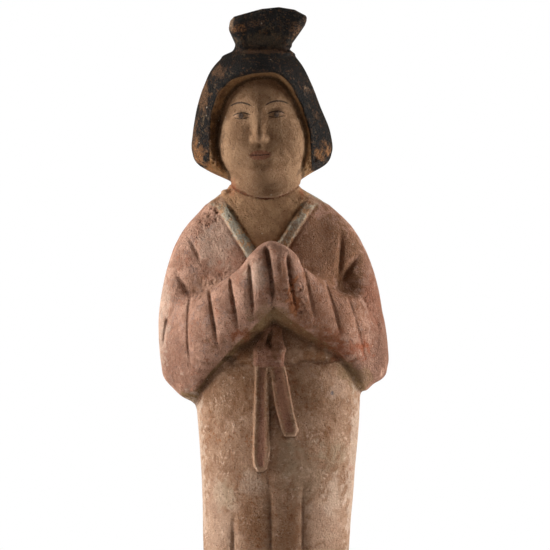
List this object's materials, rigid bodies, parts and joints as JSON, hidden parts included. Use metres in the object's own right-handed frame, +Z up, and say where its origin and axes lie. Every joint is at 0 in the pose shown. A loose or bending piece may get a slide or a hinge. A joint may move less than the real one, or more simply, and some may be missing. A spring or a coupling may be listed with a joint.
{
  "type": "court lady figure",
  "caption": "Standing court lady of moulded, painted earthenware, hands joined under long sleeves, hair in side lobes and a topknot, on a low oval base.",
  "frame": {"origin": "on the flat underside, under the middle of the skirt, at the height that the figure stands on", "axes": "+Z up through the figure, -Y the way the figure faces, +X towards its left hand"},
  "size_m": [0.1153, 0.0801, 0.3835],
  "materials": {
    "painted_clay": "matt, worn cold paint over pale slip on buff earthenware"
  },
  "bodies": {
    "root": {"court_lady": "painted_clay"}
  },
  "joints": []
}
